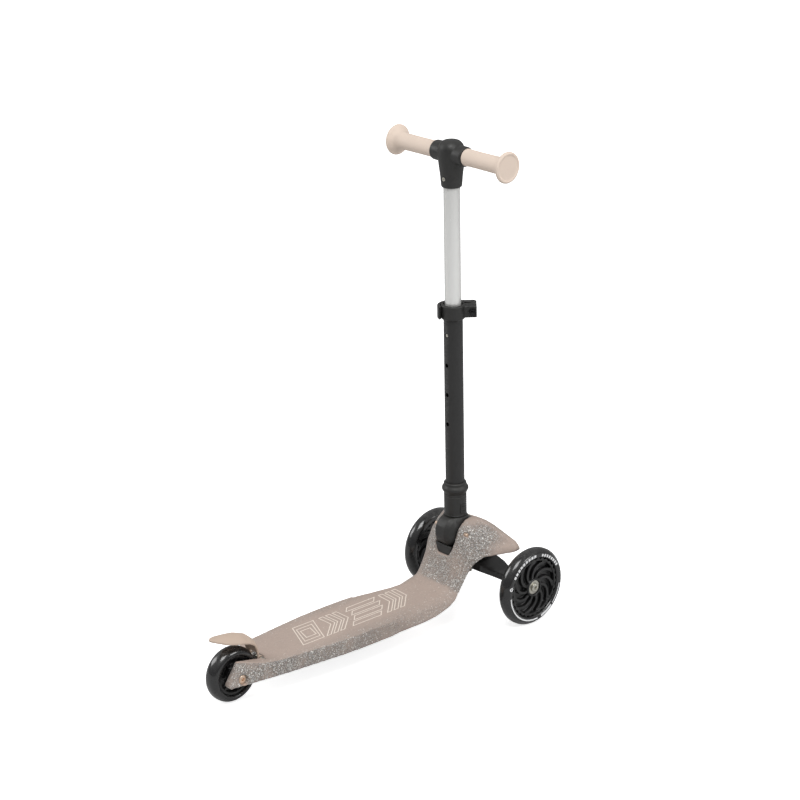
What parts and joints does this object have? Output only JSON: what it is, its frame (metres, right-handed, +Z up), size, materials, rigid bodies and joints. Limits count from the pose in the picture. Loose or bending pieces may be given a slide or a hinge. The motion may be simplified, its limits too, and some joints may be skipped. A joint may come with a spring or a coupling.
{
  "type": "kick scooter",
  "caption": "Child's lean-to-steer kick scooter: moulded deck, two front wheels and one rear, rear fender brake, folding stem, height-adjustable handlebar with mushroom grips.",
  "frame": {"origin": "on the ground under the middle of the overall width and length", "axes": "+Z up, -Y the way it rides, +X to its left; the handlebar runs along X"},
  "size_m": [0.229, 0.586, 0.7335],
  "materials": {
    "deck_plastic": "rose-beige moulded plastic with silver glitter flakes, dense on the neck",
    "cream_plastic": "pale peach-cream moulded plastic",
    "grip_rubber": "pale peach-cream soft rubber, matte",
    "black_plastic": "black moulded plastic, satin with fine grain",
    "gloss_black_plastic": "black moulded plastic, smooth and glossy",
    "tyre_polyurethane": "smoky translucent cast polyurethane, glossy sides",
    "black_tube": "satin black powder-coated aluminium tube",
    "satin_aluminium": "satin silver anodised aluminium",
    "bronze_pin": "copper-coloured plated pin, flush ends",
    "zinc_steel": "zinc-plated steel, satin",
    "spring_steel": "drawn spring steel wire"
  },
  "bodies": {
    "deck": {"deck_body": "deck_plastic", "underside_cover": "black_plastic", "cover_screw_1": "zinc_steel", "cover_screw_2": "zinc_steel", "cover_screw_3": "zinc_steel", "cover_screw_4": "zinc_steel", "hinge_cradle": "black_plastic", "fold_pin": "bronze_pin", "kingpin_stud": "zinc_steel", "kingpin_washer": "zinc_steel", "kingpin_nut": "zinc_steel", "steering_spring": "spring_steel", "rear_spacer_left": "zinc_steel", "rear_spacer_right": "zinc_steel", "rear_axle_bolt": "zinc_steel", "rear_axle_nut": "zinc_steel", "brake_pin": "zinc_steel", "brake_spring": "spring_steel"},
    "steering_bridge": {"axle_bridge": "gloss_black_plastic", "kingpin_bush_upper": "black_plastic", "kingpin_bush_lower": "black_plastic", "front_spacer_left": "zinc_steel", "front_spacer_right": "zinc_steel", "front_axle_bolt_left": "zinc_steel", "front_axle_bolt_right": "zinc_steel"},
    "front_wheel_left": {"front_tyre_left": "tyre_polyurethane", "front_core_left": "gloss_black_plastic", "front_bearing_outer_left": "zinc_steel", "front_bearing_inner_left": "zinc_steel"},
    "front_wheel_right": {"front_tyre_right": "tyre_polyurethane", "front_core_right": "gloss_black_plastic", "front_bearing_outer_right": "zinc_steel", "front_bearing_inner_right": "zinc_steel"},
    "rear_wheel": {"rear_tyre": "tyre_polyurethane", "rear_core": "gloss_black_plastic", "rear_bearing_left": "zinc_steel", "rear_bearing_right": "zinc_steel"},
    "brake": {"brake_fender": "cream_plastic", "brake_shoe": "cream_plastic"},
    "stem": {"stem_knuckle": "black_plastic", "stem_sleeve": "black_plastic", "fold_button_spring": "spring_steel", "ring_collar": "black_plastic", "outer_tube": "black_tube", "clamp_collar": "black_plastic", "clamp_bolt": "zinc_steel", "clamp_nut": "zinc_steel"},
    "fold_button": {"fold_button": "black_plastic"},
    "clamp_lever": {"clamp_lever": "black_plastic", "lever_pin": "zinc_steel"},
    "handlebar_post": {"inner_tube": "satin_aluminium", "tube_end_plug": "black_plastic", "snap_spring": "spring_steel", "t_joint": "black_plastic", "t_joint_screw": "zinc_steel", "crossbar": "satin_aluminium", "grip_left": "grip_rubber", "grip_right": "grip_rubber"},
    "snap_button": {"snap_button": "zinc_steel"}
  },
  "joints": [
    {"name": "lean_steer", "type": "hinge", "parent": "deck", "child": "steering_bridge", "pos_m": [0, -0.2142, 0.079], "axis": [0, -0.5736, 0.8192], "range_deg": [-9, 9], "stiffness_Nm_per_rad": 15},
    {"name": "front_wheel_left_spin", "type": "hinge", "parent": "steering_bridge", "child": "front_wheel_left", "pos_m": [0.1034, -0.233, 0.06], "axis": [1, 0, 0], "continuous": true},
    {"name": "front_wheel_right_spin", "type": "hinge", "parent": "steering_bridge", "child": "front_wheel_right", "pos_m": [-0.1034, -0.233, 0.06], "axis": [1, 0, 0], "continuous": true},
    {"name": "rear_wheel_spin", "type": "hinge", "parent": "deck", "child": "rear_wheel", "pos_m": [0, 0.2524, 0.0406], "axis": [1, 0, 0], "continuous": true},
    {"name": "brake_press", "type": "hinge", "parent": "deck", "child": "brake", "pos_m": [0, 0.2098, 0.055], "axis": [-1, 0, 0], "range_deg": [0, 6], "stiffness_Nm_per_rad": 6, "springref_deg": -3.44},
    {"name": "stem_fold", "type": "hinge", "parent": "deck", "child": "stem", "pos_m": [0, -0.1692, 0.1376], "axis": [-1, 0, 0], "range_deg": [0, 90]},
    {"name": "fold_button_press", "type": "slide", "parent": "stem", "child": "fold_button", "axis": [1, 0, 0], "range_m": [0, 0.0015], "stiffness_N_per_m": 600},
    {"name": "clamp_lever_open", "type": "hinge", "parent": "stem", "child": "clamp_lever", "pos_m": [-0.0081, -0.19905, 0.47902], "axis": [0, -0.0254, -0.9997], "range_deg": [0, 100]},
    {"name": "height_slide", "type": "slide", "parent": "stem", "child": "handlebar_post", "axis": [0, 0.0254, 0.9997], "range_m": [-0.1368, 0]},
    {"name": "snap_button_press", "type": "slide", "parent": "handlebar_post", "child": "snap_button", "axis": [0, 0.9997, -0.0254], "range_m": [-0.002, 0], "stiffness_N_per_m": 800}
  ]
}
